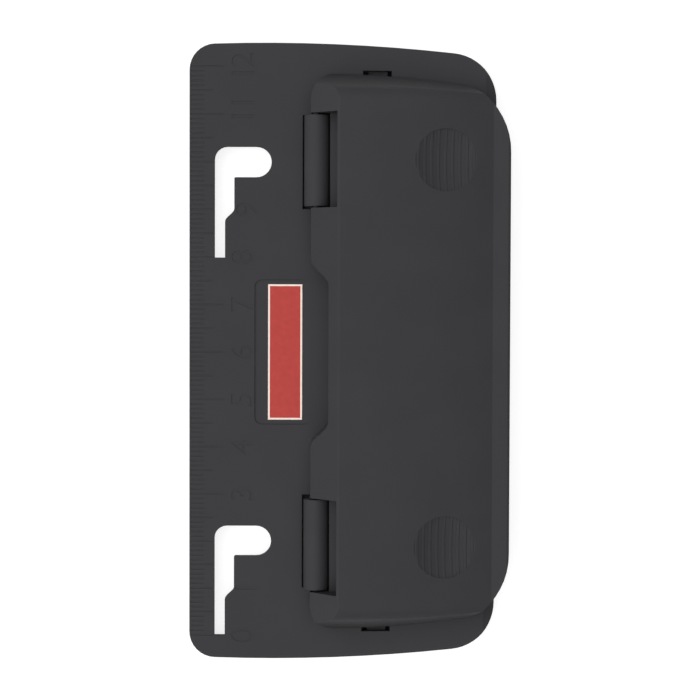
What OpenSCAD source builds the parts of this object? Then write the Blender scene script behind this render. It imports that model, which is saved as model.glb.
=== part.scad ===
// Pocket hole punch for two filing holes, with a ruler edge and two binder slots.
// X runs along the ruler, +Y points at the ruler edge, -Y is the paper side and Z is up.
// Distances named "from_back" are measured from the ruler edge.

/* [Base] */
// Length of the base along the ruler
base_length = 130; // [128:0.5:134]
// Depth of the base from the ruler edge to the front edge
base_depth = 64.6; // [64.2:0.1:66]
// Height of the deck that the paper lies on
deck_height = 4.6; // [4.4:0.1:4.9]
// Thickness of the deck
deck_wall = 1.6; // [1.4:0.1:1.8]
// Thickness of the skirt under the rim
skirt_wall = 1.5; // [1.2:0.1:1.8]
// Radius of the bowed ends
end_bow = 360; // [300:10:450]
// Distance from the ruler edge to the widest place
bow_from_back = 17; // [14:1:20]
// Corner radius beside the ruler
back_corner = 5.5; // [4:0.5:7]
// Corner radius at the paper side
front_corner = 10; // [8:0.5:12]
// Depth of the paper ramp along the front edge
ramp_depth = 2.3; // [1.8:0.1:2.6]
// Drop of the paper ramp
ramp_drop = 0.8; // [0.5:0.1:1]
// Thickness of the ribs under the deck
rib_wall = 1.2; // [1:0.1:1.5]

/* [Binder slots] */
// Spacing of the punched holes and of the binder rings
hole_spacing = 80; // [79.5:0.5:80.5]
// Width of the slot where a ring enters
slot_width = 6.4; // [6:0.1:6.8]
// Reach of that opening away from the ruler edge
slot_reach = 12; // [11:0.1:12.5]
// Margin between the slot and the ruler edge
slot_from_back = 5.3; // [5:0.1:6]
// Whole length of the slot along the ruler
slot_run = 23.3; // [21:0.1:24]
// Width of the wide part of the stem
stem_width = 4.15; // [3.6:0.05:4.4]
// Width of the narrow part of the stem
neck_width = 2.2; // [1.8:0.1:2.6]
// Where the stem starts to narrow
stem_run = 13; // [12:0.1:13.6]
// Where the narrow part starts
neck_run = 15.7; // [15.2:0.1:17]
// Radius of the outer corner
slot_corner = 2.7; // [2:0.1:3]

/* [Label] */
// Length of the label
label_length = 28.6; // [26:0.2:30]
// Width of the label
label_width = 7.2; // [6:0.2:9]
// Thickness of the label
label_thickness = 0.15; // [0.1:0.01:0.2]
// Length of the recess
recess_length = 30.6; // [30.4:0.2:32]
// Width of the recess
recess_width = 12.1; // [11:0.1:12.4]
// Depth of the recess
recess_depth = 0.3; // [0.25:0.05:0.4]
// Corner radius of the recess
recess_corner = 1.5; // [1:0.1:2.5]
// Distance from the ruler edge to the middle of the recess
recess_from_back = 19.8; // [19.6:0.1:20.2]
// Distance from the ruler edge to the middle of the label
label_from_back = 20.2; // [19.6:0.1:20.4]

/* [Hinge] */
// Distance from the ruler edge to the hinge axis
hinge_from_back = 26.85; // [26.7:0.05:27]
// Height of the hinge axis
hinge_height = 9.4; // [9.2:0.1:9.6]
// Diameter of the knuckles on the base
knuckle_diameter = 5.2; // [4.8:0.1:5.4]
// Length of each knuckle
knuckle_length = 19; // [18:0.5:20]
// Thickness of the web that carries a knuckle
knuckle_web = 3; // [2.4:0.1:3.6]
// Floor of the pocket around a knuckle
pocket_floor = 1.2; // [1:0.1:1.6]
// Gap between a knuckle and the deck behind it
knuckle_gap = 0.35; // [0.3:0.05:0.5]
// Length of the pocket from front to back
pocket_depth = 7.25; // [7.15:0.05:7.35]
// Height of the shelf in front of a knuckle, above the middle of the hinge pin
window_shelf = 1; // [0.6:0.1:1.4]
// Diameter of the hinge pins
hinge_pin_diameter = 1.6; // [1.4:0.1:2]
// Length of a hinge pin in each cheek of the lever
pin_grip = 3.3; // [2.6:0.1:4]
// Width of the snap slot under each hinge bore
snap_width = 1.3; // [1.1:0.05:1.35]

/* [Lever] */
// Distance from the ruler edge to the back of the lever
lever_from_back = 25.65; // [25.5:0.05:25.8]
// Half of the length at the widest place
lever_half = 58.5; // [58.3:0.1:58.7]
// Radius of the bowed ends
lever_bow = 185; // [175:5:200]
// Distance from the ruler edge to the widest place of the lever
lever_bow_from_back = 31.5; // [31:0.5:32.5]
// Draft of the end walls, degrees
end_draft = 18; // [15:1:19]
// Corner radius at the back
lever_back_corner = 6.2; // [5.8:0.1:6.6]
// Corner radius at the lip
lever_front_corner = 16; // [15:0.5:17]
// Height of the back edge
back_edge_height = 11.5; // [11.2:0.1:12]
// Distance from the ruler edge to the ridge
ridge_from_back = 31.5; // [31.3:0.1:31.7]
// Height of the ridge
ridge_height = 17.6; // [17.4:0.1:18.2]
// Slope of the top just in front of the ridge, degrees
ridge_slope = 2.5; // [2.2:0.1:2.8]
// Radius on the ridge
ridge_round = 0.9; // [0.6:0.1:1.2]
// Radius of the curved top
crown_radius = 115; // [113:1:125]
// Radius of the shoulders at both ends
shoulder_radius = 3.2; // [2.8:0.1:3.6]
// Thickness of the top
top_wall = 1.6; // [1.5:0.05:1.7]
// Thickness of the side walls
side_wall = 1.6; // [1.4:0.05:1.7]
// How far the lip stands out over the front edge of the base
lip_overhang = 2.6; // [2.2:0.1:3]
// Depth of the flat lip
lip_depth = 3.7; // [3.4:0.1:4]
// Thickness of the lip
lip_wall = 1.5; // [1.3:0.1:1.6]
// Width of the paper mouth under the lip
mouth_width = 92; // [88:1:94]
// Half width of the notch behind the label
notch_half = 14; // [13.5:0.1:14.5]
// Length of each curved flank of the notch
notch_run = 5.5; // [5:0.1:6]
// Depth of the notch
notch_depth = 3.8; // [3.5:0.1:3.9]
// Thickness of the stiffening ribs under the top
lever_rib = 1.2; // [1:0.1:1.6]
// Height of the stiffening ribs
lever_rib_height = 1.4; // [1:0.1:1.6]

/* [Thumb pads] */
// Diameter of the pads
pad_diameter = 12.9; // [12:0.1:13.4]
// Depth of the dish
pad_depth = 0.95; // [0.8:0.05:1]
// Radius of the dished floor
pad_bowl = 30; // [28:1:36]
// Distance between two grip ribs
grip_pitch = 1.5; // [1.4:0.05:1.7]
// Width of a grip rib
grip_width = 0.6; // [0.5:0.05:0.7]
// Height of a grip rib
grip_rise = 0.15; // [0.1:0.05:0.25]

/* [Stop hooks] */
// Distance from the ruler edge to the middle of the hooks
hook_from_back = 39.6; // [39:0.2:40.6]
// Width of a hook
hook_width = 4.2; // [3.8:0.1:4.3]
// Thickness of a hook
hook_wall = 1.2; // [1:0.1:1.3]
// Catch of a hook under the deck
hook_catch = 0.6; // [0.5:0.05:0.7]
// Height of the barb
barb_height = 0.85; // [0.75:0.05:0.9]
// Length of the slot in the deck
hook_slot_length = 5.9; // [5.6:0.1:6.2]
// Room outside the hook, over its barb
hook_slot_room = 1.5; // [1.4:0.05:1.6]
// Floor of the cup around a hook
cup_floor = 0.5; // [0.4:0.05:0.55]
// Wall of the cup around a hook
cup_wall = 1; // [0.8:0.1:1.2]

/* [Punch] */
// Distance from the hinge axis to the punch pins
punch_reach = 26.75; // [26.55:0.05:26.95]
// Distance from the paper edge to the hole centres
hole_margin = 12; // [11.8:0.1:12.2]
// Diameter of the punched hole
punch_diameter = 5.5; // [5.3:0.1:5.7]
// Travel of the punch pins
punch_travel = 2.05; // [2:0.01:2.1]
// Depth of the hollow in the cutting end
tip_hollow = 0.5; // [0.3:0.05:0.6]
// Radius of the domed head
head_dome = 8; // [7:0.5:12]
// Thickness of the steel strip
strip = 0.8; // [0.7:0.05:0.85]
// Height of the gap for paper
paper_gap = 1; // [0.9:0.05:1.05]
// Width of a punch frame
frame_width = 14; // [13:0.2:15]
// Length of the die leg in front of the hole centre
die_front = 7.4; // [7:0.1:8]
// Length of the guide leg in front of the hole centre
guide_front = 6; // [5.6:0.1:6.4]
// Length of the flared end of the guide leg
flare_length = 1.6; // [1.2:0.1:2]
// Lift of the flared end
flare_lift = 0.7; // [0.5:0.05:0.8]
// Corner radius of the strip
strip_corner = 1.5; // [1:0.1:2]
// Diameter of the rivets
rivet_diameter = 2; // [1.8:0.1:2.2]
// Diameter of the rivet heads
rivet_head = 3.2; // [3:0.1:3.4]
// Depth of the sunk heads
rivet_sink = 0.6; // [0.5:0.05:0.6]
// Height of the closed end under the deck
rivet_tail = 0.4; // [0.3:0.05:0.45]
// Sideways offset of the rivets from the hole centre
rivet_offset = 4.6; // [4.2:0.1:4.8]
// Distance from the paper stop to the rivets
rivet_setback = 3.4; // [3.2:0.1:4]
// Diameter of the chip hole under the die
chip_hole = 6.6; // [6.4:0.1:7]

/* [Return springs] */
// Wire of the springs
wire = 0.45; // [0.4:0.01:0.5]
// Mean radius of the springs
spring_radius = 3.45; // [3.4:0.01:3.5]
// Number of turns
spring_turns = 2.5; // [2.5:0.25:3]
// Length of a spring at rest
spring_length = 3.8; // [3.7:0.05:3.9]
// Thickness of the washers
washer = 0.3; // [0.25:0.05:0.35]
// Outer diameter of the washers and rings
washer_diameter = 7.8; // [7.6:0.1:8]
// Thickness of the retaining rings
ring = 0.4; // [0.35:0.05:0.45]
// Diameter of the groove for a ring
groove_diameter = 4.2; // [4:0.1:4.5]
// Width of the mouth of a ring
ring_mouth = 3.2; // [2.8:0.1:3.6]

/* [Chip drawer] */
// Width of the drawer
drawer_width = 100; // [96:1:101]
// Length of the drawer behind the front edge
drawer_length = 23.2; // [22.6:0.1:23.4]
// Height of the drawer
drawer_height = 2; // [1.8:0.05:2.05]
// Thickness of the floor of the drawer
drawer_floor = 0.8; // [0.6:0.1:1]
// Thickness of the walls of the drawer
drawer_wall = 1; // [0.8:0.1:1.2]
// Thickness of the runners
runner = 0.6; // [0.5:0.05:0.7]
// How far the runners reach into the rails
runner_reach = 1; // [0.8:0.1:1.2]
// Width of the pull tab
tab_width = 18; // [14:1:24]
// How far the pull tab stands out
tab_reach = 1; // [0.8:0.1:1.2]
// Thickness of the rails
rail_wall = 2.7; // [2.5:0.1:3]

/* [Fits] */
// Radial clearance of pins in their bores
running_fit = 0.05; // [0.03:0.01:0.08]
// Clearance between pieces that are fixed together
seat_fit = 0.05; // [0.04:0.01:0.08]
// Gap between pieces that move past each other
motion_gap = 0.3; // [0.25:0.05:0.35]
// Gap between the pressed lever and the deck
press_gap = 0.25; // [0.2:0.05:0.3]

/* [Hidden] */
$fn = 48;
eps = 1;

black = "#2c2d2f";
steel = "#b9bcc0";
red = "#c5473f";

// Places from front to back
whole_depth = base_depth + lip_overhang;
back_y = whole_depth / 2;
front_y = back_y - base_depth;
hinge_y = back_y - hinge_from_back;
punch_y = hinge_y - punch_reach;
stop_y = punch_y + hole_margin;
side = hole_spacing / 2;

// Heights of the stack over a hole
deck_under = deck_height - deck_wall;
die_bottom = deck_height - strip;
guide_bottom = deck_height + paper_gap;
guide_top = guide_bottom + strip;
tip_z = guide_bottom + seat_fit;
spring_bottom = guide_top + seat_fit;
spring_top = spring_bottom + spring_length;
washer_bottom = spring_top + seat_fit;
ring_bottom = washer_bottom + washer + seat_fit;
groove_top = ring_bottom + ring + 0.02;
head_top = ring_bottom + ring + 0.45;
pusher_bottom = head_top + 0.1;

// Motion of the lever
press_angle = punch_travel / punch_reach * 180 / PI;

// Curve of the top of the lever, and its drafted ends
lever_foot = deck_height + 0.4;
end_spare = 0.3;
crown_y = back_y - ridge_from_back + crown_radius * sin(ridge_slope);
crown_z = ridge_height - crown_radius * cos(ridge_slope);
crown_half = lever_half + end_spare / 2
    - (crown_radius - norm([back_y - ridge_from_back - crown_y, lever_foot - crown_z])) * tan(end_draft);
lip_y = front_y - lip_overhang;
lip_start_y = lip_y + lip_depth;
lip_top = crown_z + sqrt(pow(crown_radius, 2) - pow(lip_start_y - crown_y, 2));
lip_bottom = lip_top - lip_wall;
pad_z = crown_z + sqrt(pow(crown_radius, 2) - pow(punch_y - crown_y, 2));
pad_tilt = asin((crown_y - punch_y) / crown_radius);

// Hinge windows in the lever
window_half = knuckle_length / 2 + motion_gap;
pocket_back_y = hinge_y + knuckle_diameter / 2 + knuckle_gap;
pocket_front_y = pocket_back_y - pocket_depth;
cheek = pin_grip + 0.1;

// Hooks at the ends of the lever
hook_y = back_y - hook_from_back;
press_drop = hinge_height - deck_height - press_gap;
hook_top = hinge_height + (hinge_y - hook_y) * sin(press_angle) - press_drop * cos(press_angle) + 1;
hook_out = lever_half - pow(hook_from_back - lever_bow_from_back, 2) / (2 * lever_bow)
    - (hook_top - lever_foot) * tan(end_draft) - 0.1;
hook_in = hook_out - hook_wall;
hook_slot_y = hook_y + 0.1;
hook_slot_in = hook_in - hook_catch - 0.1;
hook_slot_out = hook_out + hook_slot_room;
barb_out = hook_slot_out + hook_catch;
barb_top = deck_under - 0.1;

// Chip drawer
drawer_z = 0.3;
drawer_back_y = front_y + drawer_length;
rail_in = drawer_width / 2 + motion_gap;
runner_z = drawer_z + 0.6;
opening_top = drawer_z + drawer_height + 0.5;

spring_rings = 12;
spring_sides = 6;

function polar(c, r, a) = [c[0] + r * cos(a), c[1] + r * sin(a)];

function arc(c, r, a0, a1, n) = [for (i = [0 : n]) polar(c, r, a0 + (a1 - a0) * i / n)];

// Half of an outline with a bowed end and two rounded corners, set in by a wall
function bowed_half(half, bow, bow_y, rear, front, r_rear, r_front, inset) =
    let (
        cx = half - bow,
        ry = rear - r_rear,
        rx = cx + sqrt(pow(bow - r_rear, 2) - pow(ry - bow_y, 2)),
        ra = atan2(ry - bow_y, rx - cx),
        fy = front + r_front,
        fx = cx + sqrt(pow(bow - r_front, 2) - pow(fy - bow_y, 2)),
        fa = atan2(fy - bow_y, fx - cx)
    )
    concat(
        arc([rx, ry], r_rear - inset, 90, ra, 8),
        [for (i = [1 : 7]) polar([cx, bow_y], bow - inset, ra + (fa - ra) * i / 8)],
        arc([fx, fy], r_front - inset, fa, -90, 12)
    );

function both_halves(p) = concat(p, [for (i = [len(p) - 1 : -1 : 0]) [-p[i][0], p[i][1]]]);

function base_outline(inset) = both_halves(bowed_half(
    base_length / 2, end_bow, back_y - bow_from_back, back_y, front_y, back_corner, front_corner, inset
));

function lever_outline(inset) = both_halves(bowed_half(
    lever_half + end_spare, lever_bow, back_y - lever_bow_from_back, back_y - lever_from_back, lip_y,
    lever_back_corner, lever_front_corner, inset
));

function ease(t) = (1 - cos(180 * t)) / 2;

// Binder slot in its own directions: along the ruler from its outer edge, and away from the ruler
slot_local = concat(
    arc([slot_corner, slot_corner], slot_corner, 270, 180, 6),
    arc([slot_width / 2, slot_reach - slot_width / 2], slot_width / 2, 180, 0, 14),
    [[slot_width, stem_width]],
    [for (i = [0 : 8]) [
        stem_run + (neck_run - stem_run) * i / 8,
        stem_width + (neck_width - stem_width) * ease(i / 8)
    ]],
    [[slot_run, neck_width], [slot_run, 0]]
);

slot_outline = [for (p = slot_local) [slot_width / 2 - p[0], back_y - slot_from_back - p[1]]];

// Notch behind the label, with two S-shaped flanks
function notch_half_outline(grow) = [for (i = [0 : 10]) [
    notch_half + grow + notch_run * i / 10,
    back_y - lever_from_back - grow - notch_depth * (1 - ease(i / 10))
]];

// A profile drawn in Y and Z, run along X
module along_x(length) {
    rotate([90, 0, 90])
        linear_extrude(length, center = true)
            children();
}

module at_holes() {
    for (s = [-1, 1])
        translate([s * side, 0, 0])
            children();
}

module box_between(a, b) {
    translate(a)
        cube(b - a);
}

module rounded_rectangle(length, width, r) {
    polygon(concat(
        arc([length / 2 - r, width / 2 - r], r, 90, 0, 6),
        arc([length / 2 - r, -width / 2 + r], r, 0, -90, 6),
        arc([-length / 2 + r, -width / 2 + r], r, -90, -180, 6),
        arc([-length / 2 + r, width / 2 - r], r, 180, 90, 6)
    ));
}

// Base plate

module base_shell() {
    difference() {
        linear_extrude(deck_height)
            polygon(base_outline(0));
        translate([0, 0, -eps])
            linear_extrude(deck_under + eps)
                polygon(base_outline(skirt_wall));
    }
}

module base_ribs() {
    rib_y = back_y - slot_from_back - slot_reach - 2.6;
    stop_rib_y = drawer_back_y + motion_gap;
    translate([-base_length / 2 + skirt_wall / 2, rib_y - rib_wall, 0.4])
        cube([base_length - skirt_wall, rib_wall, deck_under]);
    for (x = [-10, 10])
        translate([x - rib_wall / 2, stop_rib_y + rib_wall / 2, 0.4])
            cube([rib_wall, back_y - skirt_wall / 2 - stop_rib_y - rib_wall / 2, deck_under]);
    translate([-rail_in - rail_wall / 2, stop_rib_y, 0])
        cube([2 * rail_in + rail_wall, rib_wall, deck_under + 0.2]);
    for (s = [-1, 1])
        translate([s * (rail_in + rail_wall / 2), (stop_rib_y + rib_wall + front_y + skirt_wall / 2) / 2, 0])
            translate([-rail_wall / 2, -(stop_rib_y + rib_wall - front_y - skirt_wall / 2) / 2, 0])
                cube([rail_wall, stop_rib_y + rib_wall - front_y - skirt_wall / 2, deck_under + 0.2]);
    at_holes()
        box_between(
            [-window_half - skirt_wall, pocket_front_y - skirt_wall, 0],
            [window_half + skirt_wall, pocket_back_y + skirt_wall, deck_under + 0.2]
        );
    for (s = [-1, 1])
        translate([s * (hook_slot_in + barb_out + motion_gap) / 2, hook_slot_y, (deck_under + 0.2) / 2])
            cube([
                barb_out + motion_gap - hook_slot_in + 2 * cup_wall,
                hook_slot_length + 2 * cup_wall,
                deck_under + 0.2
            ], center = true);
}

module base_cuts() {
    at_holes()
        translate([0, 0, -eps])
            linear_extrude(deck_height + 2 * eps)
                polygon(slot_outline);
    translate([0, back_y - recess_from_back, deck_height - recess_depth])
        linear_extrude(eps)
            rounded_rectangle(recess_length, recess_width, recess_corner);
    at_holes()
        box_between(
            [-window_half, pocket_front_y, pocket_floor],
            [window_half, pocket_back_y, deck_height + eps]
        );
    for (s = [-1, 1]) {
        translate([s * (hook_slot_in + hook_slot_out) / 2, hook_slot_y, deck_height])
            cube([hook_slot_out - hook_slot_in, hook_slot_length, 2 * deck_wall + 1], center = true);
        translate([s * (hook_slot_in + barb_out + motion_gap) / 2, hook_slot_y, (cup_floor + deck_under) / 2])
            cube([barb_out + motion_gap - hook_slot_in, hook_slot_length, deck_under - cup_floor], center = true);
    }
    at_holes() {
        box_between(
            [-frame_width / 2 - seat_fit, punch_y - die_front - seat_fit, die_bottom],
            [frame_width / 2 + seat_fit, stop_y + strip + seat_fit, deck_height + eps]
        );
        translate([0, punch_y, 0])
            cylinder(h = deck_height, d = chip_hole);
        at_rivets()
            cylinder(h = deck_height, d = rivet_diameter + 2 * seat_fit);
    }
    along_x(base_length)
        polygon([
            [front_y + ramp_depth, deck_height],
            [front_y - eps, deck_height - ramp_drop * (ramp_depth + eps) / ramp_depth],
            [front_y - eps, deck_height + eps],
            [front_y + ramp_depth, deck_height + eps]
        ]);
    box_between([-rail_in, front_y - eps, -eps], [rail_in, front_y + skirt_wall + 0.1, opening_top]);
    for (s = [-1, 1])
        translate([s * rail_in, (drawer_back_y + motion_gap + front_y) / 2, runner_z + runner / 2])
            cube([
                2 * runner_reach,
                drawer_back_y + motion_gap - front_y + eps / 100,
                runner + 2 * motion_gap
            ], center = true);
}

module at_rivets() {
    for (s = [-1, 1])
        translate([s * rivet_offset, stop_y - rivet_setback, 0])
            children();
}

module knuckle() {
    difference() {
        union() {
            translate([0, hinge_y, hinge_height])
                rotate([0, 90, 0])
                    cylinder(h = knuckle_length, d = knuckle_diameter, center = true);
            box_between(
                [-knuckle_length / 2, hinge_y - knuckle_web / 2, pocket_floor - 0.2],
                [knuckle_length / 2, hinge_y + knuckle_web / 2, hinge_height]
            );
        }
        translate([0, hinge_y, hinge_height])
            rotate([0, 90, 0])
                cylinder(h = knuckle_length + 2 * eps, d = hinge_pin_diameter + 2 * running_fit, center = true);
    }
}

module base_plate() {
    color(black) {
        difference() {
            union() {
                base_shell();
                base_ribs();
            }
            base_cuts();
        }
        at_holes()
            knuckle();
    }
}

module label() {
    color(red)
        translate([0, back_y - label_from_back, deck_height - recess_depth])
            linear_extrude(label_thickness)
                rounded_rectangle(label_length, label_width, 0.3);
}

// Punch frames

module frame_profile() {
    polygon(concat(
        arc([stop_y, deck_height], strip, 270, 360, 6),
        arc([stop_y, guide_bottom], strip, 0, 90, 6),
        [
            [punch_y - guide_front + flare_length, guide_top],
            [punch_y - guide_front, guide_top + flare_lift],
            [punch_y - guide_front, guide_bottom + flare_lift],
            [punch_y - guide_front + flare_length, guide_bottom],
            [stop_y, guide_bottom],
            [stop_y, deck_height],
            [punch_y - die_front, deck_height],
            [punch_y - die_front, die_bottom]
        ]
    ));
}

module punch_frame() {
    frame_length = stop_y + strip + 1 - punch_y + die_front;
    color(steel)
        difference() {
            intersection() {
                along_x(frame_width)
                    frame_profile();
                translate([0, punch_y - die_front + frame_length / 2, 0])
                    linear_extrude(2 * guide_top)
                        rounded_rectangle(frame_width, frame_length, strip_corner);
            }
            translate([0, punch_y, 0])
                cylinder(h = 2 * guide_top, d = punch_diameter + 2 * running_fit);
            at_rivets() {
                cylinder(h = 2 * guide_top, d = rivet_diameter + 2 * seat_fit);
                translate([0, 0, deck_height - rivet_sink])
                    cylinder(h = rivet_sink, d1 = rivet_diameter + 2 * seat_fit, d2 = rivet_head + 2 * seat_fit);
                translate([0, 0, deck_height])
                    cylinder(h = 2 * guide_top, d = rivet_head + 1);
            }
        }
}

module punch_frame_left() {
    translate([-side, 0, 0])
        punch_frame();
}

module punch_frame_right() {
    translate([side, 0, 0])
        punch_frame();
}

module frame_rivets() {
    top = deck_height - seat_fit;
    under = deck_under - seat_fit;
    color(steel)
        at_holes()
            at_rivets()
                rotate_extrude()
                    polygon([
                        [0, under - rivet_tail],
                        [rivet_head / 2, under - rivet_tail],
                        [rivet_head / 2, under],
                        [rivet_diameter / 2, under],
                        [rivet_diameter / 2, top - rivet_sink],
                        [rivet_head / 2, top],
                        [0, top]
                    ]);
}

// Hinge pins

module hinge_pin() {
    color(steel)
        translate([0, hinge_y, hinge_height])
            rotate([0, 90, 0])
                cylinder(h = 2 * (window_half + pin_grip), d = hinge_pin_diameter, center = true);
}

module hinge_pin_left() {
    translate([-side, 0, 0])
        hinge_pin();
}

module hinge_pin_right() {
    translate([side, 0, 0])
        hinge_pin();
}

// Lever

// The curved top with its rounded shoulders, set in by a wall
module crown(inset) {
    r = crown_radius - shoulder_radius;
    f = shoulder_radius - inset;
    half = crown_half - shoulder_radius * (1 / cos(end_draft) - tan(end_draft));
    depth = 24;
    foot = crown_half + depth * tan(end_draft) - inset / cos(end_draft);
    turn = 90 - end_draft;
    translate([0, crown_y, crown_z])
        rotate([0, 90, 0])
            rotate_extrude($fn = 240)
                polygon(concat(
                    [[crown_radius - depth, -foot]],
                    arc([r, -half], f, -turn, 0, 8),
                    arc([r, half], f, 0, turn, 8),
                    [[crown_radius - depth, foot]]
                ));
}

// One drafted end wall, a part of a wide cone
module drafted_end(s, inset) {
    rise = ridge_height + 2 * eps;
    foot = lever_bow - inset / cos(end_draft) + (lever_foot + eps) * tan(end_draft);
    translate([s * (lever_half - lever_bow), back_y - lever_bow_from_back, -eps])
        cylinder(h = rise, r1 = foot, r2 = foot - rise * tan(end_draft), $fn = 720);
}

module drafted_ends(inset) {
    intersection() {
        drafted_end(1, inset);
        drafted_end(-1, inset);
    }
}

// Side view of the lever, with the wedge under it that lets it go down on the deck
module lever_side() {
    rear = back_y - lever_from_back;
    ridge = back_y - ridge_from_back;
    slope = atan2(ridge_height - back_edge_height, rear - ridge);
    turn = ridge_round * tan(slope / 2);
    front_reach = hinge_y - lip_y + eps;
    polygon(concat(
        [[rear, lever_foot], [rear, back_edge_height]],
        arc([ridge - turn, ridge_height - ridge_round], ridge_round, 90 - slope, 90, 5),
        [
            [lip_y - eps, ridge_height],
            [lip_y - eps, hinge_height + front_reach * sin(press_angle) - press_drop * cos(press_angle)],
            [
                hinge_y - (lever_foot - hinge_height + press_drop * cos(press_angle)) / sin(press_angle),
                lever_foot
            ]
        ]
    ));
}

module lever_outer() {
    intersection() {
        linear_extrude(2 * ridge_height)
            polygon(lever_outline(0));
        along_x(3 * lever_half)
            lever_side();
        crown(0);
        drafted_ends(0);
    }
}

module lip() {
    intersection() {
        linear_extrude(2 * ridge_height)
            polygon(lever_outline(0));
        along_x(3 * lever_half)
            union() {
                translate([lip_y + lip_wall / 2, lip_bottom])
                    square([lip_depth, lip_wall]);
                translate([lip_y + lip_wall / 2, lip_bottom + lip_wall / 2])
                    circle(d = lip_wall);
            }
    }
}

// The hollow of the lever, with walls left around the notch and the hinge windows
module lever_hollow() {
    rear = back_y - lever_from_back - side_wall;
    slope = atan2(ridge_height - back_edge_height, ridge_from_back - lever_from_back);
    ridge_in = back_y - ridge_from_back - top_wall * tan(slope / 2);
    difference() {
        intersection() {
            linear_extrude(2 * ridge_height)
                polygon(lever_outline(side_wall));
            along_x(3 * lever_half)
                polygon([
                    [rear, 0],
                    [rear, ridge_height - top_wall - (rear - ridge_in) * tan(slope)],
                    [ridge_in, ridge_height - top_wall],
                    [lip_y, ridge_height - top_wall],
                    [lip_y, 0]
                ]);
            crown(top_wall);
            drafted_ends(side_wall);
        }
        notch(side_wall);
        at_holes()
            box_between(
                [-window_half - cheek, pocket_front_y - side_wall, -eps],
                [window_half + cheek, back_y, 2 * ridge_height]
            );
    }
}

module notch(grow) {
    deep = back_y - lever_from_back - grow - notch_depth;
    open = back_y - lever_from_back + 5;
    translate([0, 0, -eps])
        linear_extrude(2 * ridge_height)
            polygon(concat(
                [[0, open], [0, deep]],
                notch_half_outline(grow),
                [[notch_half + grow + notch_run, open]]
            ));
    mirror([1, 0, 0])
        translate([0, 0, -eps])
            linear_extrude(2 * ridge_height)
                polygon(concat(
                    [[0, open], [0, deep]],
                    notch_half_outline(grow),
                    [[notch_half + grow + notch_run, open]]
                ));
}

// Side view of a window: its front wall ends in a shelf that runs round the knuckle
module window_side() {
    reach = knuckle_diameter / 2 + motion_gap;
    polygon(concat(
        [
            [hinge_y - reach, -eps],
            [back_y, -eps],
            [back_y, 2 * ridge_height],
            [pocket_front_y, 2 * ridge_height],
            [pocket_front_y, hinge_height + window_shelf]
        ],
        arc([hinge_y, hinge_height], reach, 180 - asin(window_shelf / reach), 180, 4)
    ));
}

module hinge_windows() {
    at_holes() {
        along_x(2 * window_half)
            window_side();
        translate([0, hinge_y, hinge_height])
            rotate([0, 90, 0])
                cylinder(
                    h = 2 * (window_half + cheek + 0.3),
                    d = hinge_pin_diameter + 2 * running_fit,
                    center = true
                );
        box_between(
            [-window_half - cheek - 0.3, hinge_y - snap_width / 2, 0],
            [window_half + cheek + 0.3, hinge_y + snap_width / 2, hinge_height]
        );
    }
}

// Bosses that press the punch pins, and the thicker walls behind the thumb pads
module pushers() {
    at_holes()
        translate([0, punch_y, pusher_bottom])
            cylinder(h = pad_z - pad_depth - 0.3 - pusher_bottom, d = punch_diameter - 0.5);
    intersection() {
        crown(top_wall / 2);
        at_holes()
            translate([0, punch_y, pusher_bottom + 0.4])
                cylinder(h = ridge_height, d = pad_diameter + 1.6);
    }
}

module lever_ribs() {
    for (x = [-20, 0, 20])
        intersection() {
            crown(top_wall / 2);
            translate([x - lever_rib / 2, 0, 0])
                rotate([90, 0, 90])
                    linear_extrude(lever_rib)
                        polygon([
                            [pocket_front_y - 2, ridge_height],
                            [pocket_front_y - 2, ridge_height - top_wall - lever_rib_height],
                            [lip_start_y + 6, lip_bottom + 0.3],
                            [lip_start_y + 6, ridge_height]
                        ]);
        }
}

module hook() {
    translate([0, hook_y, 0])
        rotate([90, 0, 0])
            linear_extrude(hook_width, center = true)
                polygon([
                    [hook_in, barb_top - barb_height],
                    [hook_out, barb_top - barb_height],
                    [barb_out, barb_top - 0.4],
                    [barb_out, barb_top],
                    [hook_out, barb_top],
                    [hook_out, hook_top],
                    [hook_in, hook_top]
                ]);
}

module pad_dish() {
    grips = floor(pad_diameter / grip_pitch / 2) + 1;
    translate([0, punch_y, pad_z])
        intersection() {
            cylinder(h = 12, d = pad_diameter, center = true);
            rotate([pad_tilt, 0, 0])
                union() {
                    translate([0, 0, pad_bowl - pad_depth + grip_rise])
                        rotate([0, 90, 0])
                            sphere(pad_bowl, $fn = 96);
                    intersection() {
                        translate([0, 0, pad_bowl - pad_depth])
                            rotate([0, 90, 0])
                                sphere(pad_bowl, $fn = 96);
                        for (i = [-grips : grips])
                            translate([0, (i + 0.5) * grip_pitch, 0])
                                cube([pad_diameter + 4, grip_pitch - grip_width, 8], center = true);
                    }
                }
        }
}

module lever() {
    color(black)
        difference() {
            union() {
                difference() {
                    union() {
                        lever_outer();
                        lip();
                    }
                    lever_hollow();
                    box_between(
                        [-mouth_width / 2, lip_y - eps, 0],
                        [mouth_width / 2, lip_start_y + 2, lip_bottom]
                    );
                }
                pushers();
                lever_ribs();
                hook();
                mirror([1, 0, 0])
                    hook();
            }
            notch(0);
            hinge_windows();
            at_holes()
                pad_dish();
        }
}

// Punch pins and what they carry

module punch_pin() {
    r = punch_diameter / 2;
    rim = asin(r / head_dome);
    color(steel)
        translate([0, punch_y, 0])
            difference() {
                rotate_extrude()
                    polygon(concat(
                        [
                            [0, tip_z],
                            [r, tip_z],
                            [r, ring_bottom - 0.02],
                            [groove_diameter / 2, ring_bottom - 0.02],
                            [groove_diameter / 2, groove_top],
                            [r, groove_top]
                        ],
                        arc([0, head_top - head_dome], head_dome, 90 - rim, 90, 6)
                    ));
                translate([0, 0, tip_z + tip_hollow - 6])
                    rotate([0, 90, 0])
                        cylinder(h = 2 * punch_diameter, r = 6, center = true);
            }
}

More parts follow.
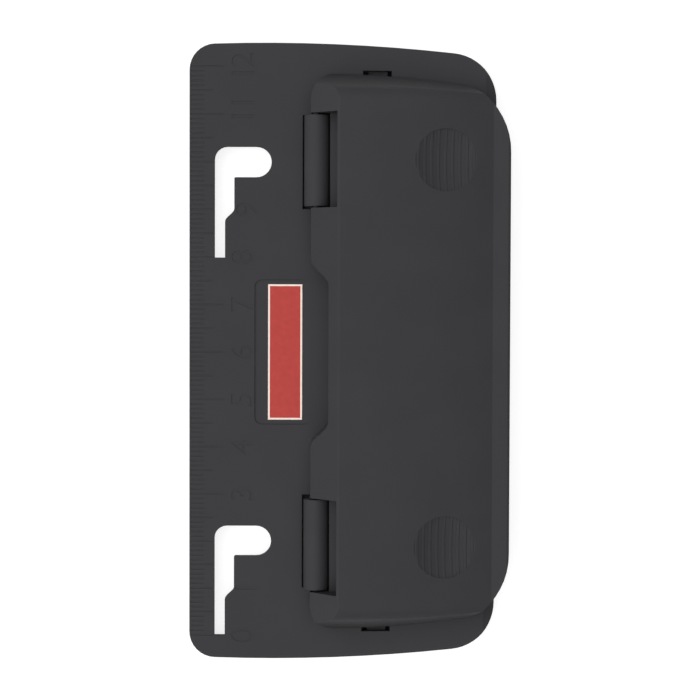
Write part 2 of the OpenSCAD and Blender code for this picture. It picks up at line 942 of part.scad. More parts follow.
module punch_pin_left() {
    translate([-side, 0, 0])
        punch_pin();
}

module punch_pin_right() {
    translate([side, 0, 0])
        punch_pin();
}

module spring_washer() {
    color(steel)
        translate([0, punch_y, washer_bottom])
            difference() {
                cylinder(h = washer, d = washer_diameter);
                translate([0, 0, -eps])
                    cylinder(h = washer + 2 * eps, d = punch_diameter + 4 * running_fit);
            }
}

module spring_washer_left() {
    translate([-side, 0, 0])
        spring_washer();
}

module spring_washer_right() {
    translate([side, 0, 0])
        spring_washer();
}

module retaining_ring() {
    inner = groove_diameter / 2 + running_fit;
    color(steel)
        translate([0, punch_y, ring_bottom])
            linear_extrude(ring)
                difference() {
                    circle(d = washer_diameter);
                    circle(r = inner);
                    translate([-ring_mouth / 2, -washer_diameter])
                        square([ring_mouth, washer_diameter]);
                    for (a = [30, 150])
                        rotate(a)
                            translate([inner + 0.35, 0])
                                circle(d = 1.1);
                }
}

module retaining_ring_left() {
    translate([-side, 0, 0])
        retaining_ring();
}

module retaining_ring_right() {
    translate([side, 0, 0])
        retaining_ring();
}

// Return springs: one unbroken wire

spring_steps = spring_rings * spring_turns;
spring_rise = spring_length - wire;

function wire_centre(i) = [
    spring_radius * cos(360 * i / spring_rings),
    spring_radius * sin(360 * i / spring_rings),
    spring_bottom + wire / 2 + spring_rise * i / spring_steps
];

function wire_point(i, k) =
    let (
        c = wire_centre(i),
        out = wire / 2 * cos(360 * k / spring_sides),
        up = wire / 2 * sin(360 * k / spring_sides),
        a = 360 * i / spring_rings
    )
    [c[0] + out * cos(a), c[1] + out * sin(a), c[2] + up];

wire_points = [for (i = [0 : spring_steps]) for (k = [0 : spring_sides - 1]) wire_point(i, k)];

function wire_index(i, k) = i * spring_sides + k % spring_sides;

wire_skin = [for (i = [0 : spring_steps - 1]) for (k = [0 : spring_sides - 1]) for (t = [0, 1])
    t == 0
        ? [wire_index(i, k), wire_index(i + 1, k), wire_index(i + 1, k + 1)]
        : [wire_index(i, k), wire_index(i + 1, k + 1), wire_index(i, k + 1)]
];

wire_ends = [for (k = [1 : spring_sides - 2]) for (t = [0, 1])
    t == 0
        ? [wire_index(0, 0), wire_index(0, k), wire_index(0, k + 1)]
        : [wire_index(spring_steps, 0), wire_index(spring_steps, k + 1), wire_index(spring_steps, k)]
];

// Least gap between a turn and the turns that aren't next to it along the wire
spring_gap = min([for (i = [0 : spring_steps]) for (j = [i : spring_steps])
    j - i > spring_rings / 2 ? norm(wire_centre(j) - wire_centre(i)) - wire : spring_length
]);
echo(least_gap_in_spring = spring_gap);

module return_spring() {
    color(steel)
        translate([0, punch_y, 0])
            polyhedron(points = wire_points, faces = concat(wire_skin, wire_ends));
}

module return_spring_left() {
    translate([-side, 0, 0])
        return_spring();
}

module return_spring_right() {
    translate([side, 0, 0])
        return_spring();
}

// Chip drawer

module chip_drawer() {
    half = drawer_width / 2;
    color(black)
        difference() {
            union() {
                box_between([-half, front_y, drawer_z], [half, drawer_back_y, drawer_z + drawer_height]);
                for (s = [-1, 1])
                    translate([s * half, (front_y + skirt_wall + 1 + drawer_back_y) / 2, runner_z + runner / 2])
                        cube([
                            2 * (runner_reach - motion_gap),
                            drawer_back_y - front_y - skirt_wall - 1,
                            runner
                        ], center = true);
                box_between(
                    [-tab_width / 2, front_y - tab_reach, drawer_z],
                    [tab_width / 2, front_y + eps, drawer_z + drawer_height / 2]
                );
            }
            box_between(
                [-half + drawer_wall, front_y + drawer_wall + 0.6, drawer_z + drawer_floor],
                [half - drawer_wall, drawer_back_y - drawer_wall, deck_height]
            );
        }
}

base_plate();
label();
punch_frame_left();
punch_frame_right();
frame_rivets();
hinge_pin_left();
hinge_pin_right();
lever();
punch_pin_left();
punch_pin_right();
spring_washer_left();
spring_washer_right();
retaining_ring_left();
retaining_ring_right();
return_spring_left();
return_spring_right();
chip_drawer();
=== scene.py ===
"""Looks of the pocket hole punch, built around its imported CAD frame. Lengths are in metres."""

import math

import bmesh
import bpy
from mathutils import Matrix, Vector
from mathutils.bvhtree import BVHTree
from mathutils.geometry import intersect_point_line
from mathutils.interpolate import poly_3d_calc


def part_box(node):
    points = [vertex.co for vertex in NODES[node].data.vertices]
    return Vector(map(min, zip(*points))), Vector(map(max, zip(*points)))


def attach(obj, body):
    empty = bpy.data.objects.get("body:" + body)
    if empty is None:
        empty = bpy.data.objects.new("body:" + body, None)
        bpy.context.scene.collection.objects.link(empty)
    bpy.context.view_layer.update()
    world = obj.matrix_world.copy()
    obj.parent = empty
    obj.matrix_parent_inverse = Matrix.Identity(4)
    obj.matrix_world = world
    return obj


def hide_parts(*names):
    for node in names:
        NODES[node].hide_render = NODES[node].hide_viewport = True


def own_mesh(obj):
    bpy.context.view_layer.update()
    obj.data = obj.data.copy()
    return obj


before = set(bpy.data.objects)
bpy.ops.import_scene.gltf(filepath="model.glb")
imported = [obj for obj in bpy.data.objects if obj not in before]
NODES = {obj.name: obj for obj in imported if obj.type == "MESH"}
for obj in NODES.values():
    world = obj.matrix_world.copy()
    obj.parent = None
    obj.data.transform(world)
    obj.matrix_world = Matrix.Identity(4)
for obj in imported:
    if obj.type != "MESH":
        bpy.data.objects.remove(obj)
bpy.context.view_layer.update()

MM = 0.001

# Places taken from the frame
LABEL_LOW, LABEL_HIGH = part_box("label")
RECESS_DEPTH = 0.3 * MM
MARKS_DEPTH = 1.1 * RECESS_DEPTH  # no mark in the deck, nor the label's recess, goes deeper
DECK = LABEL_LOW.z + RECESS_DEPTH
BACK_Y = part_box("base_plate")[1].y

# Ruler: ticks and numbers run in from the back edge of the deck
RULER_LENGTH_MM = 120
TICK_WIDTH = 0.36 * MM
TICK_DEPTH = 0.13 * MM
TICK_START = 0.35 * MM
TICK_ENDS = {1: 3.1 * MM, 5: 5.0 * MM, 10: 7.3 * MM}
SLOT_TICK_END = 5.0 * MM
DIGIT_HEIGHT = 4.6 * MM
DIGIT_DEPTH = 0.14 * MM
DIGIT_FOOT = 13.5 * MM
DIGIT_FOOT_AT_SLOT = 14.4 * MM
DIGIT_SPACING = 0.84
DIGIT_CURVE_STEPS = 3
DIGIT_WELD = 0.001 * MM
ASIDE = {11: 1.0 * MM}  # this number stands off its tick

# Binder slots: the bar lies across a binder ring's place, and the stem leads away from it
HOLE_SPACING_MM = 80
SLOT_BAR_MM = 6.3
SLOT_STEM_MM = 16.0

# Thumb pads: their ribs run along x above the punch pins
PIN_BOXES = [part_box("punch_pin_" + side) for side in ("left", "right")]
PAD_RADIUS = 6.45 * MM
RIBS_REACH = 5.2 * MM  # how far the long ribs reach from the middle of a pad, to its front and back
RIB_SHARE = 0.6  # of the radius that other edges get
RIB_ALONG = 0.9  # the least cosine between a rib's edge and x

# Softened edges
EDGE_RADIUS = 0.2 * MM
EDGE_SEGMENTS = 2
EDGE_FACES = 1  # the material index that marks the faces of a radius until they have normals
SHARP_EDGE = math.radians(32)
ROOM_FOR_RADIUS = 1.2 * EDGE_RADIUS
LEAST_SHARE = 0.2  # an edge with room for less of the radius stays sharp
CAD_WELD = 0.02 * MM
FLAT_ANGLE = math.radians(0.02)
FOLD_SIZE = 0.002 * MM
SPUR_SIZE = 0.02 * MM

# Normals carried over from the CAD surfaces
PULL_INWARD = 0.05  # a corner is looked up this far toward the middle of its triangle
SAME_SURFACE = 0.95  # the least cosine between a face and the CAD face that it came from
LEAST_AREA = 1e-12

# Label border
BORDER_WIDTH = 0.39 * MM
BORDER_RISE = 0.01 * MM

# Return springs
WIRE = 0.45 * MM
SPRING_TURNS = 2.5
SPRING_STEPS = 28
SPRING_SIDES = 10

# Crease angles for smooth shading
PART_CREASE = math.radians(30)
WIRE_CREASE = math.radians(50)

# White sheet: radius and rise of its rings
SHEET_RINGS = ((1.1, 0.0), (1.22, 0.015), (1.34, 0.065), (1.43, 0.15), (1.48, 0.25), (1.5, 0.36))
SHEET_SIDES = 64
SHEET_DROP = 0.02 * MM
SHEET_GREY = 0.4
SHEET_ROUGHNESS = 0.9
SHEET_GLOW = 0.78

# Light tent: its level between the dim foot and the bright cap around TENT_TOP
TENT_HIGH = 1.96
TENT_LOW = 0.18
TENT_TOP = Vector((0, 0.375, 0.927)).normalized()
TENT_EDGE = 0.5
TENT_FULL = 0.92

# Camera, matched to the photo
CAMERA_PLACE = Vector((15.56, 0.5, 438.9)) * MM
CAMERA_AIM = Vector((0.48, -0.3, 4.6)) * MM
CAMERA_ROLL = math.radians(-0.18)
CAMERA_LENS = 105.9
CAMERA_SENSOR = 36
CAMERA_NEAR = 0.01


def new_object(name, data):
    obj = bpy.data.objects.new(name, data)
    bpy.context.scene.collection.objects.link(obj)
    return obj


def mesh_from(name, bm):
    mesh = bpy.data.meshes.new(name)
    bm.to_mesh(mesh)
    bm.free()
    return mesh


def evaluated_mesh(obj):
    """The mesh of an object with its modifiers applied."""
    graph = bpy.context.evaluated_depsgraph_get()
    return bpy.data.meshes.new_from_object(obj.evaluated_get(graph))


def paint(obj, material):
    obj.data.materials.clear()
    obj.data.materials.append(material)


# Materials: noise scales are in features per metre, and heights are the depth of the relief

NOISE_MIDDLE = (0.35, 0.65)
CLOUD_SCALE = 90.0
GRAIN_SCALE = 5200.0
GRAIN_HEIGHT = 0.02 * MM
LINE_SCALE = 1800.0
LINE_HEIGHT = 0.01 * MM
LINE_STRENGTH = 0.12
MOTTLE_SCALE = 700.0
FILM_ROUGHNESS = 0.5
FILM_GLOSS = 0.2
LINES_ALONG_X = (0.1, 1.0, 1.0)
LINES_AROUND_Z = (1.0, 1.0, 8.0)
NO_LINES = (1.0, 1.0, 1.0)


def node_adder(tree):
    """A helper that adds a node to a tree and sets its inputs or its properties by name."""

    def add(kind, **values):
        node = tree.nodes.new(kind)
        for key, value in values.items():
            if key in node.inputs:
                node.inputs[key].default_value = value
            else:
                setattr(node, key, value)
        return node

    return add


def shader(name):
    """A new material with its node tree, its shader node and a helper that adds nodes."""
    material = bpy.data.materials.new(name)
    material.use_nodes = True
    tree = material.node_tree
    return material, tree, tree.nodes["Principled BSDF"], node_adder(tree)


def ramp_between(add, dark, light):
    """A ramp that turns the middle of a noise's range into a change between two colours."""
    node = add("ShaderNodeValToRGB")
    for element, position, colour in zip(node.color_ramp.elements, NOISE_MIDDLE, (dark, light)):
        element.position = position
        element.color = (*colour, 1)
    return node


def moulded_plastic(name, dark, light, rough_low, rough_high, gloss, grain):
    """Moulded plastic: a fine eroded grain and faint, broad changes of sheen."""
    material, tree, principled, add = shader(name)
    link = tree.links.new
    place = add("ShaderNodeTexCoord")
    cloud = add("ShaderNodeTexNoise", Scale=CLOUD_SCALE, Detail=3.0)
    tint = ramp_between(add, dark, light)
    sheen = add("ShaderNodeMapRange", **{"To Min": rough_low, "To Max": rough_high})
    fine = add("ShaderNodeTexNoise", Scale=GRAIN_SCALE, Detail=2.0, Roughness=0.6)
    bump = add("ShaderNodeBump", Strength=grain, Distance=GRAIN_HEIGHT)
    for node in (cloud, fine):
        link(place.outputs["Object"], node.inputs["Vector"])
    link(cloud.outputs["Fac"], tint.inputs["Fac"])
    link(cloud.outputs["Fac"], sheen.inputs["Value"])
    link(tint.outputs["Color"], principled.inputs["Base Color"])
    link(sheen.outputs["Result"], principled.inputs["Roughness"])
    link(fine.outputs["Fac"], bump.inputs["Height"])
    link(bump.outputs["Normal"], principled.inputs["Normal"])
    principled.inputs["Specular IOR Level"].default_value = gloss
    return material


def drawn_steel(name, dark, light, roughness, stretch):
    """Steel with fine lines along the direction in which it was rolled, drawn or ground."""
    material, tree, principled, add = shader(name)
    link = tree.links.new
    place = add("ShaderNodeTexCoord")
    mapping = add("ShaderNodeMapping", Scale=stretch)
    lines = add("ShaderNodeTexNoise", Scale=LINE_SCALE, Detail=4.0)
    tint = ramp_between(add, dark, light)
    bump = add("ShaderNodeBump", Strength=LINE_STRENGTH, Distance=LINE_HEIGHT)
    link(place.outputs["Object"], mapping.inputs["Vector"])
    link(mapping.outputs["Vector"], lines.inputs["Vector"])
    link(lines.outputs["Fac"], tint.inputs["Fac"])
    link(tint.outputs["Color"], principled.inputs["Base Color"])
    link(lines.outputs["Fac"], bump.inputs["Height"])
    link(bump.outputs["Normal"], principled.inputs["Normal"])
    principled.inputs["Metallic"].default_value = 1.0
    principled.inputs["Roughness"].default_value = roughness
    return material


def printed_film(name, dark, light):
    """Printed label film with a faint mottle."""
    material, tree, principled, add = shader(name)
    link = tree.links.new
    place = add("ShaderNodeTexCoord")
    mottle = add("ShaderNodeTexNoise", Scale=MOTTLE_SCALE, Detail=3.0)
    tint = ramp_between(add, dark, light)
    link(place.outputs["Object"], mottle.inputs["Vector"])
    link(mottle.outputs["Fac"], tint.inputs["Fac"])
    link(tint.outputs["Color"], principled.inputs["Base Color"])
    principled.inputs["Roughness"].default_value = FILM_ROUGHNESS
    principled.inputs["Specular IOR Level"].default_value = FILM_GLOSS
    return material


plastic = moulded_plastic(
    "black_plastic",
    dark=(0.042, 0.042, 0.045),
    light=(0.045, 0.045, 0.0482),
    rough_low=0.54,
    rough_high=0.62,
    gloss=0.1,
    grain=0.2,
)
strip_steel = drawn_steel(
    "strip_steel", (0.42, 0.43, 0.45), (0.58, 0.59, 0.61), 0.34, LINES_ALONG_X
)
black_oxide = drawn_steel(
    "black_oxide", (0.035, 0.035, 0.037), (0.06, 0.06, 0.063), 0.38, LINES_ALONG_X
)
pin_steel = drawn_steel("pin_steel", (0.5, 0.5, 0.52), (0.62, 0.62, 0.64), 0.22, LINES_AROUND_Z)
wire_steel = drawn_steel("wire_steel", (0.4, 0.4, 0.42), (0.52, 0.52, 0.54), 0.3, NO_LINES)
red_film = printed_film("red_film", (0.46, 0.0475, 0.039), (0.5, 0.0535, 0.044))
white_film = printed_film("white_film", (0.93, 0.77, 0.69), (0.97, 0.81, 0.73))


# Moulded shells


def softened(node, name, cutter):
    """A copy of a CAD node with small radii on its outer edges and, if asked, marks cut into it."""
    source = NODES[node].data
    bm = bmesh.new()
    bm.from_mesh(source)
    bmesh.ops.remove_doubles(bm, verts=bm.verts, dist=CAD_WELD)
    bmesh.ops.dissolve_degenerate(bm, edges=bm.edges, dist=CAD_WELD)
    bmesh.ops.dissolve_limit(bm, angle_limit=FLAT_ANGLE, verts=bm.verts, edges=bm.edges)
    bmesh.ops.recalc_face_normals(bm, faces=bm.faces)
    rough = new_object(name + "_rough", mesh_from(name + "_rough", bm))
    if cutter:
        cut = rough.modifiers.new("marks", "BOOLEAN")
        cut.object = cutter
        cut.operation = "DIFFERENCE"
        cut.solver = "EXACT"
        mesh = evaluated_mesh(rough)
        rough.modifiers.clear()
        close_gaps(mesh)
        rough.data = mesh
    weigh_edges(rough.data)
    rough.data.materials.clear()
    for _ in range(EDGE_FACES + 1):
        rough.data.materials.append(plastic)
    bevel = rough.modifiers.new("edges", "BEVEL")
    bevel.width = EDGE_RADIUS
    bevel.segments = EDGE_SEGMENTS
    bevel.limit_method = "WEIGHT"
    bevel.use_clamp_overlap = False
    bevel.miter_outer = "MITER_ARC"
    bevel.material = EDGE_FACES
    obj = new_object(name, evaluated_mesh(rough))
    bpy.data.objects.remove(rough)
    clear_folds(obj.data)
    true_normals(obj.data, source)
    return obj


def close_gaps(mesh):
    """Puts back the small faces that a cut drops where two faces of the solid nearly touch."""
    bm = bmesh.new()
    bm.from_mesh(mesh)
    bmesh.ops.holes_fill(bm, edges=[e for e in bm.edges if e.is_boundary], sides=0)
    bmesh.ops.recalc_face_normals(bm, faces=bm.faces)
    bm.to_mesh(mesh)
    bm.free()


def clear_folds(mesh):
    """Takes out the folds, spurs and flaps that a bevel leaves where a narrow edge ends."""
    bm = bmesh.new()
    bm.from_mesh(mesh)
    bmesh.ops.remove_doubles(bm, verts=bm.verts, dist=FOLD_SIZE)
    bmesh.ops.dissolve_degenerate(bm, edges=bm.edges, dist=FOLD_SIZE)
    spurs = [v for v in bm.verts if len(v.link_edges) == 2 and off_line(v) < SPUR_SIZE]
    bmesh.ops.dissolve_verts(bm, verts=spurs)
    bmesh.ops.delete(bm, geom=[f for f in bm.faces if is_flap(f)], context="FACES")
    bm.to_mesh(mesh)
    bm.free()


def is_flap(face):
    """Whether a face has a free edge and hangs on an edge that two other faces already share."""
    counts = [len(edge.link_faces) for edge in face.edges]
    return min(counts) == 1 and max(counts) > 2


def off_line(vertex):
    """How far a vertex with two edges lies from the straight line between its neighbours."""
    before, after = (e.other_vert(vertex).co for e in vertex.link_edges)
    foot, _ = intersect_point_line(vertex.co, before, after)
    return (vertex.co - foot).length


def weigh_edges(mesh):
    """Marks the outer sharp edges for the bevel, evenly along each run, less on narrow faces."""
    bm = bmesh.new()
    bm.from_mesh(mesh)
    weight = bm.edges.layers.float.new("bevel_weight_edge")
    outer = frozenset(e for e in bm.edges if is_outer(e))
    left = set(outer)
    while left:
        run, ends = set(), [left.pop()]
        while ends:
            edge = ends.pop()
            run.add(edge)
            for vertex in edge.verts:
                beside = [e for e in vertex.link_edges if e in outer]
                if len(beside) == 2:
                    ends += [e for e in beside if e in left]
                    left.difference_update(beside)
        others = outer - run
        share = min(1.0, min(room_beside(e, others) for e in run) / ROOM_FOR_RADIUS)
        for edge in run:
            edge[weight] = share if share > LEAST_SHARE else 0.0
    for edge in filter(is_rib, outer):
        edge[weight] = RIB_SHARE
    bm.to_mesh(mesh)
    bm.free()


def is_outer(edge):
    """Whether an edge is sharp and stands out, and isn't one of the shallow marks in the deck."""
    return edge.is_manifold and edge.calc_face_angle_signed() > SHARP_EDGE and not is_mark(edge)


def is_rib(edge):
    """Whether an edge runs along a rib of a thumb pad."""
    start, end = (v.co for v in edge.verts)
    faces_up = sum(face.normal.z for face in edge.link_faces) > 0
    if not faces_up or abs((end - start).normalized().x) < RIB_ALONG:
        return False
    for low, high in PIN_BOXES:
        off = (start + end - low - high) / 2
        if off.z > 0 and abs(off.x) < PAD_RADIUS and abs(off.y) < RIBS_REACH:
            return True
    return False


def is_mark(edge):
    """Whether an edge belongs to a tick or number of the ruler, or to the label's recess."""
    heights = [v.co.z - DECK for face in edge.link_faces for v in face.verts]
    return min(heights) > -MARKS_DEPTH and max(heights) < TICK_DEPTH


def room_beside(edge, others):
    """The least room that the faces at an edge leave for its radius.

    A face that has another edge to soften leaves half its room.
    """
    start = edge.verts[0].co
    along = (edge.verts[1].co - start).normalized()
    rooms = []
    for face in edge.link_faces:
        ways = [v.co - start for v in face.verts]
        reach = max((way - way.dot(along) * along).length for way in ways)
        rooms.append(reach / 2 if others.intersection(face.edges) else reach)
    return min(rooms)


def true_normals(mesh, source):
    """Gives a softened copy the normals of the CAD surfaces, and blends them across its radii."""
    tree = BVHTree.FromPolygons(
        [v.co for v in source.vertices], [p.vertices for p in source.polygons]
    )
    found = [Vector() for _ in mesh.loops]
    at_vertex = {}
    mesh.calc_loop_triangles()
    for triangle in mesh.loop_triangles:
        face = mesh.polygons[triangle.polygon_index]
        if face.material_index == EDGE_FACES:
            continue
        corners = [mesh.vertices[v].co for v in triangle.vertices]
        middle = (corners[0] + corners[1] + corners[2]) / 3
        for loop, corner in zip(triangle.loops, corners):
            place, normal, index, _ = tree.find_nearest(corner.lerp(middle, PULL_INWARD))
            turned = face.normal
            if normal.dot(face.normal) > SAME_SURFACE:
                turned = normal_at(source, source.polygons[index], place)
            found[loop] += turned * max(triangle.area, LEAST_AREA)
    for face in mesh.polygons:
        if face.material_index != EDGE_FACES:
            for loop in face.loop_indices:
                found[loop].normalize()
                vertex = mesh.loops[loop].vertex_index
                at_vertex[vertex] = at_vertex.get(vertex, Vector()) + found[loop]
    for face in mesh.polygons:
        if face.material_index == EDGE_FACES:
            for loop in face.loop_indices:
                vertex = mesh.loops[loop].vertex_index
                found[loop] = at_vertex.get(vertex, mesh.vertices[vertex].normal).normalized()
        face.material_index = 0
    mesh.shade_smooth()
    mesh.normals_split_custom_set(found)


def normal_at(mesh, face, place):
    """The normal of a mesh at a place on one of its faces, blended from the face's corners."""
    shares = poly_3d_calc([mesh.vertices[v].co for v in face.vertices], place)
    normal = Vector()
    for share, loop in zip(shares, face.loop_indices):
        normal += share * mesh.corner_normals[loop].vector
    return normal


def ruler_marks():
    """The ticks and numbers of the ruler as one solid, to be cut into the deck."""
    bm = bmesh.new()
    for mm in range(RULER_LENGTH_MM + 1):
        end = TICK_ENDS[10 if mm % 10 == 0 else 5 if mm % 5 == 0 else 1]
        if beside_slot(mm):
            end = min(end, SLOT_TICK_END)
        middle = Vector((ruler_x(mm), BACK_Y - (TICK_START + end) / 2, DECK))
        size = Matrix.Diagonal((TICK_WIDTH, end - TICK_START, 2 * TICK_DEPTH, 1))
        bmesh.ops.create_cube(bm, size=1, matrix=Matrix.Translation(middle) @ size)
    for cm in range(RULER_LENGTH_MM // 10 + 1):
        slot = beside_slot(cm * 10)
        if slot == "bar":
            continue
        foot = DIGIT_FOOT_AT_SLOT if slot == "stem" else DIGIT_FOOT
        x = ruler_x(cm * 10) + ASIDE.get(cm, 0)
        bm.from_mesh(number(str(cm), x, BACK_Y - foot))
    return new_object("ruler_marks", mesh_from("ruler_marks", bm))


def ruler_x(mm):
    return (mm - RULER_LENGTH_MM / 2) * MM


def beside_slot(mm):
    """Whether a place on the ruler lies beside the bar or the stem of a binder slot."""
    x = mm - RULER_LENGTH_MM / 2
    for centre in (-HOLE_SPACING_MM / 2, HOLE_SPACING_MM / 2):
        along = centre + SLOT_BAR_MM / 2 - x
        if 0 <= along <= SLOT_BAR_MM:
            return "bar"
        if 0 <= along <= SLOT_STEM_MM:
            return "stem"
    return ""


def number(text, x, foot_y):
    """The mesh of a number, standing half above and half below the deck."""
    name = "number_" + text
    curve = bpy.data.curves.new(name, "FONT")
    curve.body = text
    curve.align_x = "CENTER"
    curve.size = DIGIT_HEIGHT
    curve.space_character = DIGIT_SPACING
    curve.resolution_u = DIGIT_CURVE_STEPS
    curve.extrude = DIGIT_DEPTH
    obj = new_object(name, curve)
    bpy.context.view_layer.update()
    bm = bmesh.new()
    bm.from_mesh(evaluated_mesh(obj))
    bpy.data.objects.remove(obj)
    bmesh.ops.remove_doubles(bm, verts=bm.verts, dist=DIGIT_WELD)
    bmesh.ops.recalc_face_normals(bm, faces=bm.faces)
    mesh = mesh_from(name, bm)
    grow = DIGIT_HEIGHT / max(v.co.y for v in mesh.vertices)
    mesh.transform(Matrix.Translation((x, foot_y, DECK)) @ Matrix.Diagonal((grow, grow, 1, 1)))
    return mesh


marks = ruler_marks()
for name, node, body, cutter in (
    ("base_shell", "base_plate", "base", marks),
    ("lever_shell", "lever", "lever", None),
    ("drawer_tray", "chip_drawer", "drawer", None),
):
    shell = softened(node, name, cutter)
    paint(shell, plastic)
    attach(shell, body)
    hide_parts(node)
bpy.data.objects.remove(marks)


# Pieces carried over from the frame

for node, material in (
    ("punch_frame_left", strip_steel),
    ("punch_frame_right", strip_steel),
    ("frame_rivets", strip_steel),
    ("hinge_pin_left", black_oxide),
    ("hinge_pin_right", black_oxide),
    ("punch_pin_left", pin_steel),
    ("punch_pin_right", pin_steel),
    ("spring_washer_left", strip_steel),
    ("spring_washer_right", strip_steel),
    ("retaining_ring_left", wire_steel),
    ("retaining_ring_right", wire_steel),
    ("label", red_film),
):
    NODES[node].data.shade_smooth()
    NODES[node].data.set_sharp_from_angle(angle=PART_CREASE)
    paint(NODES[node], material)


# Label border and return springs


def label_border():
    """The white printed border of the label."""
    low, high = LABEL_LOW, LABEL_HIGH
    bm = bmesh.new()
    rings = []
    for inset in (0.0, BORDER_WIDTH):
        left, right = low.x + inset, high.x - inset
        front, back = low.y + inset, high.y - inset
        for z in (high.z - BORDER_RISE, high.z + BORDER_RISE):
            corners = ((left, front), (right, front), (right, back), (left, back))
            rings.append([bm.verts.new((x, y, z)) for x, y in corners])
    outer_low, outer_high, inner_low, inner_high = rings
    for k in range(4):
        n = (k + 1) % 4
        bm.faces.new((outer_high[k], outer_high[n], inner_high[n], inner_high[k]))
        bm.faces.new((outer_low[n], outer_low[k], inner_low[k], inner_low[n]))
        bm.faces.new((outer_low[k], outer_low[n], outer_high[n], outer_high[k]))
        bm.faces.new((inner_low[n], inner_low[k], inner_high[k], inner_high[n]))
    obj = new_object("label_border", mesh_from("label_border", bm))
    paint(obj, white_film)
    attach(obj, "base")


def return_spring(side):
    """A smooth wire helix in place of the plain CAD one."""
    node = "return_spring_" + side
    low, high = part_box(node)
    middle = (low + high) / 2
    radius = (high.x - low.x - WIRE) / 2
    bottom = low.z + WIRE / 2
    rise = high.z - low.z - WIRE
    count = round(SPRING_TURNS * SPRING_STEPS)
    round_wire = [2 * math.pi * k / SPRING_SIDES for k in range(SPRING_SIDES)]
    bm = bmesh.new()
    rings = []
    for i in range(count + 1):
        turn = 2 * math.pi * i / SPRING_STEPS
        out = Vector((math.cos(turn), math.sin(turn), 0))
        centre = Vector((middle.x, middle.y, bottom + rise * i / count)) + out * radius
        rings.append([
            bm.verts.new(
                centre + out * (WIRE / 2 * math.cos(a)) + Vector((0, 0, WIRE / 2 * math.sin(a)))
            )
            for a in round_wire
        ])
    for ring, after in zip(rings, rings[1:]):
        for k in range(SPRING_SIDES):
            n = (k + 1) % SPRING_SIDES
            bm.faces.new((ring[k], ring[n], after[n], after[k]))
    bm.faces.new(rings[0])
    bm.faces.new(reversed(rings[-1]))
    bmesh.ops.recalc_face_normals(bm, faces=bm.faces)
    obj = new_object("spring_wire_" + side, mesh_from(node, bm))
    obj.data.shade_smooth()
    obj.data.set_sharp_from_angle(angle=WIRE_CREASE)
    paint(obj, wire_steel)
    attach(obj, "base")
    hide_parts(node)
    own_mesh(obj)


label_border()
return_spring("left")
return_spring("right")


# Stage


def white_sheet():
    """A white sheet that lies flat under the punch and curves up far from it on all sides."""
    bm = bmesh.new()
    rings = []
    for radius, rise in SHEET_RINGS:
        place = Matrix.Translation((0, 0, rise - SHEET_DROP))
        circle = bmesh.ops.create_circle(bm, segments=SHEET_SIDES, radius=radius, matrix=place)
        rings.append(circle["verts"])
    bm.faces.new(rings[0])
    for inner, outer in zip(rings, rings[1:]):
        for k in range(SHEET_SIDES):
            n = (k + 1) % SHEET_SIDES
            bm.faces.new((inner[k], outer[k], outer[n], inner[n]))
    bmesh.ops.recalc_face_normals(bm, faces=bm.faces)
    sheet = new_object("white_sheet", mesh_from("white_sheet", bm))
    sheet.data.shade_smooth()
    paint(sheet, sheet_material())


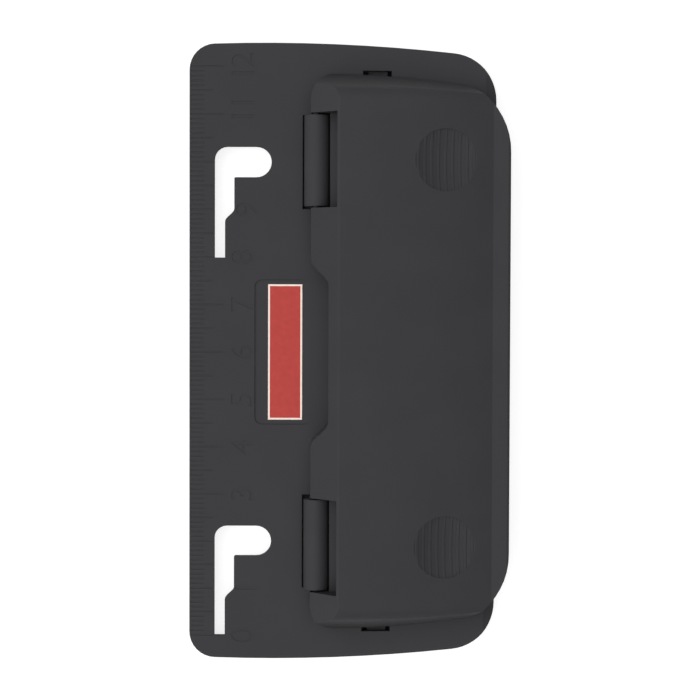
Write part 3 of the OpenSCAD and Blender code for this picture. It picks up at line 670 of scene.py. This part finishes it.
def sheet_material():
    """A matt sheet that keeps the shadow and looks white, but throws little light on the punch."""
    material, tree, principled, add = shader("white_sheet")
    principled.inputs["Base Color"].default_value = (SHEET_GREY, SHEET_GREY, SHEET_GREY, 1)
    principled.inputs["Roughness"].default_value = SHEET_ROUGHNESS
    path = add("ShaderNodeLightPath")
    seen = add("ShaderNodeMath", operation="MAXIMUM")
    seen_through = add("ShaderNodeMath", operation="MAXIMUM")
    glow = add("ShaderNodeEmission", Strength=SHEET_GLOW)
    both = add("ShaderNodeAddShader")
    mix = add("ShaderNodeMixShader")
    link = tree.links.new
    link(path.outputs["Is Camera Ray"], seen.inputs[0])
    link(path.outputs["Is Glossy Ray"], seen.inputs[1])
    link(seen.outputs["Value"], seen_through.inputs[0])
    link(path.outputs["Is Transmission Ray"], seen_through.inputs[1])
    link(principled.outputs["BSDF"], both.inputs[0])
    link(glow.outputs["Emission"], both.inputs[1])
    link(seen_through.outputs["Value"], mix.inputs["Fac"])
    link(principled.outputs["BSDF"], mix.inputs[1])
    link(both.outputs["Shader"], mix.inputs[2])
    link(mix.outputs["Shader"], tree.nodes["Material Output"].inputs["Surface"])
    return material


def light_tent():
    """A soft tent, brightest above the ruler side and dim at its foot."""
    world = bpy.data.worlds.new("light_tent")
    world.use_nodes = True
    bpy.context.scene.world = world
    tree = world.node_tree
    add = node_adder(tree)
    link = tree.links.new
    background = tree.nodes["Background"]
    place = add("ShaderNodeTexCoord")
    toward = add("ShaderNodeVectorMath", operation="DOT_PRODUCT")
    toward.inputs[1].default_value = TENT_TOP
    level = add("ShaderNodeMapRange", interpolation_type="SMOOTHSTEP", **{
        "From Min": TENT_EDGE,
        "From Max": TENT_FULL,
        "To Min": TENT_LOW,
        "To Max": TENT_HIGH,
    })
    link(place.outputs["Generated"], toward.inputs[0])
    link(toward.outputs["Value"], level.inputs["Value"])
    link(level.outputs["Result"], background.inputs["Strength"])
    background.inputs["Color"].default_value = (1, 1, 1, 1)


def camera():
    """The photo's camera: nearly straight above, with the ruler on the left."""
    data = bpy.data.cameras.new("camera")
    data.lens = CAMERA_LENS
    data.sensor_width = CAMERA_SENSOR
    data.sensor_fit = "HORIZONTAL"
    data.clip_start = CAMERA_NEAR
    obj = new_object("camera", data)
    forward = (CAMERA_AIM - CAMERA_PLACE).normalized()
    up = Vector((1, 0, 0))
    up = (up - forward * up.dot(forward)).normalized()
    right = forward.cross(up)
    up, right = (
        up * math.cos(CAMERA_ROLL) + right * math.sin(CAMERA_ROLL),
        right * math.cos(CAMERA_ROLL) - up * math.sin(CAMERA_ROLL),
    )
    turn = Matrix((right, up, -forward)).transposed().to_4x4()
    obj.matrix_world = Matrix.Translation(CAMERA_PLACE) @ turn
    bpy.context.scene.camera = obj


white_sheet()
light_tent()
camera()
bpy.context.scene.view_settings.view_transform = "Standard"
